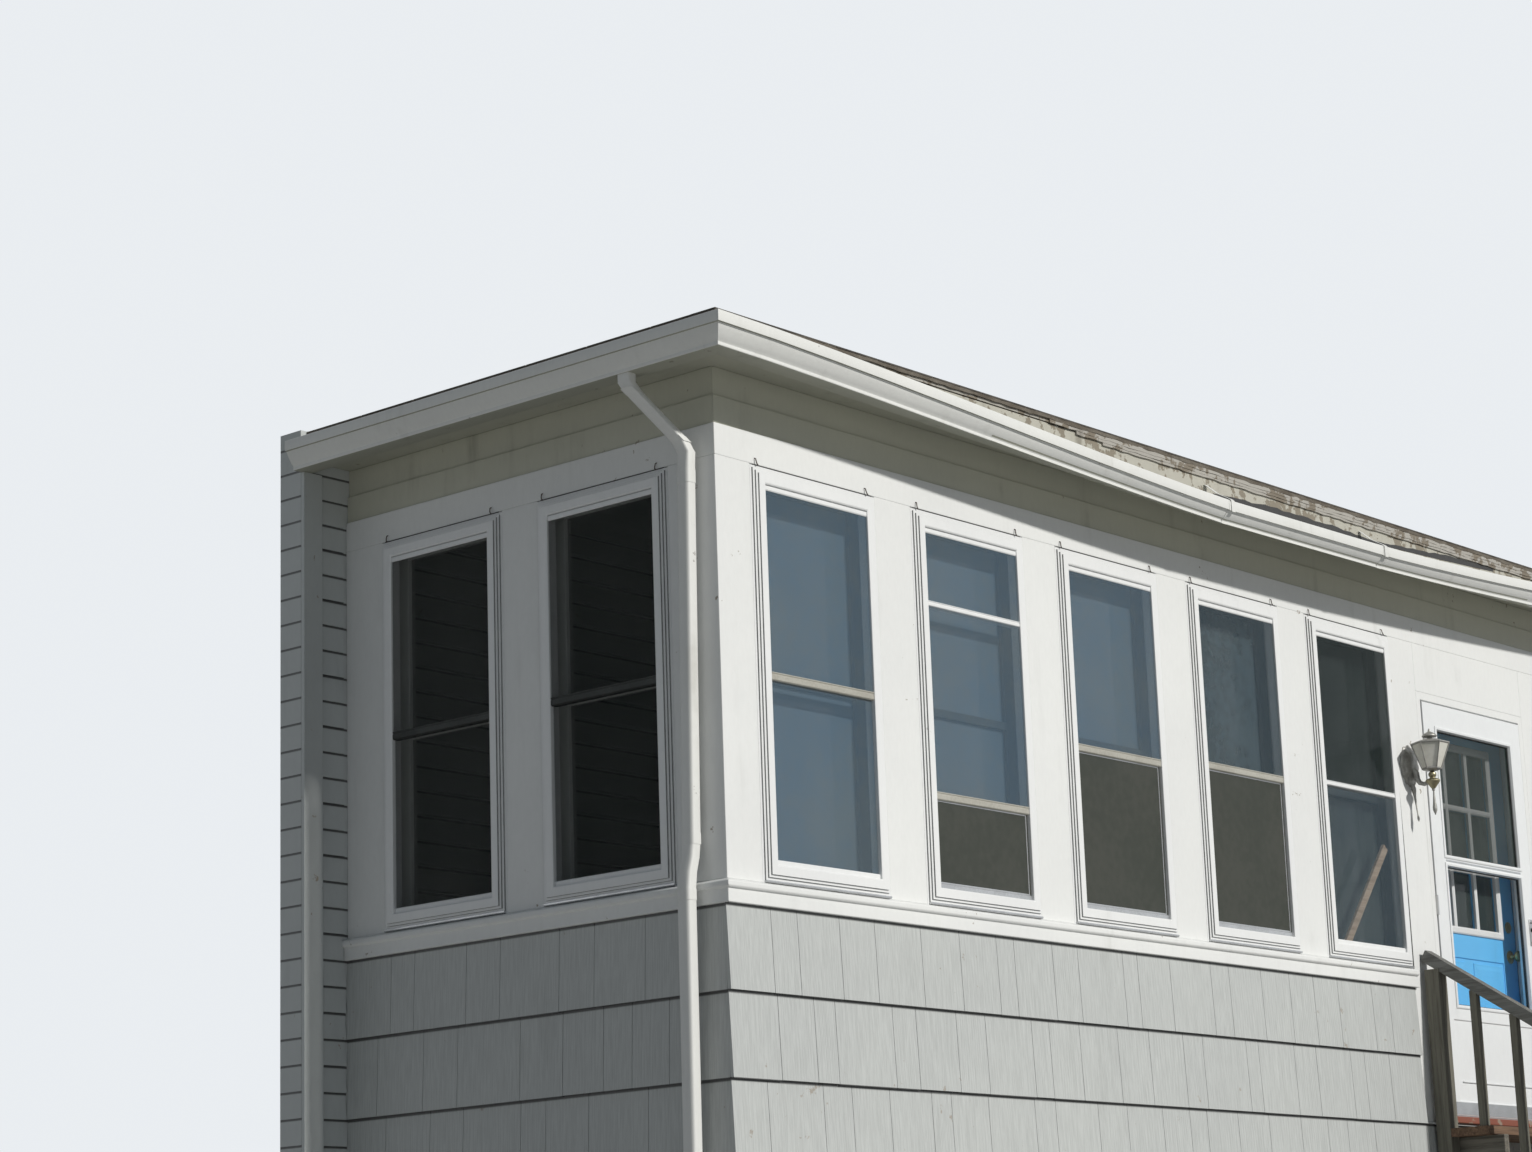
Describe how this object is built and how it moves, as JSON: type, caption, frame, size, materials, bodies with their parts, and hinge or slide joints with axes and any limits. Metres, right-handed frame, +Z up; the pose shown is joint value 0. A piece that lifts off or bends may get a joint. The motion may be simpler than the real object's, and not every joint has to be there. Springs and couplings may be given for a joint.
{
  "type": "enclosed window porch with stair",
  "caption": "Glazed sun porch with storm windows on three sides, shingled lower walls, a hipped roof with gutters, a storm door over an entry door, and a wooden stair.",
  "frame": {"origin": "middle of the length, on the back face of the slice of house wall, at ground level", "axes": "+X along the front to the right as one faces it, +Y into the house, +Z up"},
  "size_m": [7.558, 4.21, 4.5493],
  "materials": {
    "white_paint": "white-painted wood, weathered",
    "frieze_paint": "dulled white-painted boards in the eaves",
    "shingle_paint": "pale grey painted wood shakes",
    "concrete": "rough concrete",
    "siding_paint": "painted clapboards",
    "floor_paint": "grey-painted floor boards",
    "threshold_paint": "worn reddish-brown paint",
    "storm_frame": "white-enamelled aluminium",
    "window_glass": "clear float glass",
    "inner_glass": "clear old glass",
    "screen_mesh": "dark insect screen",
    "door_enamel": "white-enamelled aluminium",
    "hinge_metal": "plain steel",
    "brass_metal": "worn brass",
    "blue_paint": "bright blue gloss paint",
    "door_glass": "clear float glass",
    "lamp_metal": "antique brass",
    "lamp_glass": "frosted glass",
    "roofing": "dark asphalt roofing",
    "gutter_enamel": "white-enamelled gutter, dulled",
    "stair_wood": "weathered grey-brown wood",
    "tread_wood": "brown-stained wood"
  },
  "bodies": {
    "porch": {"foundation_front": "concrete", "foundation_left": "concrete", "foundation_right": "concrete", "lower_wall_front": "shingle_paint", "lower_wall_door": "shingle_paint", "lower_wall_far": "shingle_paint", "lower_wall_left": "shingle_paint", "lower_wall_right": "shingle_paint", "house_wall": "siding_paint", "house_corner_boards": "white_paint", "porch_floor": "floor_paint", "corner_posts": "white_paint", "door_posts": "white_paint", "front_mullions": "white_paint", "side_mullions": "white_paint", "front_sill": "white_paint", "far_sill": "white_paint", "left_sill": "white_paint", "right_sill": "white_paint", "front_frieze": "frieze_paint", "left_frieze": "frieze_paint", "right_frieze": "frieze_paint", "door_header": "white_paint", "front_storm_frames": "storm_frame", "side_storm_frames": "storm_frame", "storm_glass": "window_glass", "window_screens": "screen_mesh", "window_sashes": "white_paint", "sash_glass": "inner_glass", "door_frame": "white_paint", "threshold": "threshold_paint", "storm_door_hinges": "hinge_metal", "entry_door_hinges": "brass_metal", "porch_light": "lamp_metal", "porch_light_glass": "lamp_glass", "ceiling": "white_paint", "soffit": "frieze_paint", "fascia_boards": "white_paint", "roof": "roofing", "front_gutter": "gutter_enamel", "left_gutter": "gutter_enamel", "right_gutter": "gutter_enamel", "downspout": "gutter_enamel", "stair_stringers": "stair_wood", "stair_treads": "tread_wood", "left_railing": "stair_wood", "right_railing": "stair_wood"},
    "storm_door_leaf": {"storm_door": "door_enamel", "storm_door_glass": "door_glass", "storm_door_handle": "hinge_metal"},
    "entry_door_leaf": {"entry_door": "blue_paint", "entry_door_glass": "door_glass", "entry_door_knob": "brass_metal"}
  },
  "joints": [
    {"name": "storm_door_hinge", "type": "hinge", "parent": "porch", "child": "storm_door_leaf", "pos_m": [1.397, -2.072, 2.342], "axis": [0, 0, -1], "range_deg": [0, 88]},
    {"name": "entry_door_hinge", "type": "hinge", "parent": "porch", "child": "entry_door_leaf", "pos_m": [1.397, -1.91, 2.342], "axis": [0, 0, 1], "range_deg": [0, 95]}
  ]
}
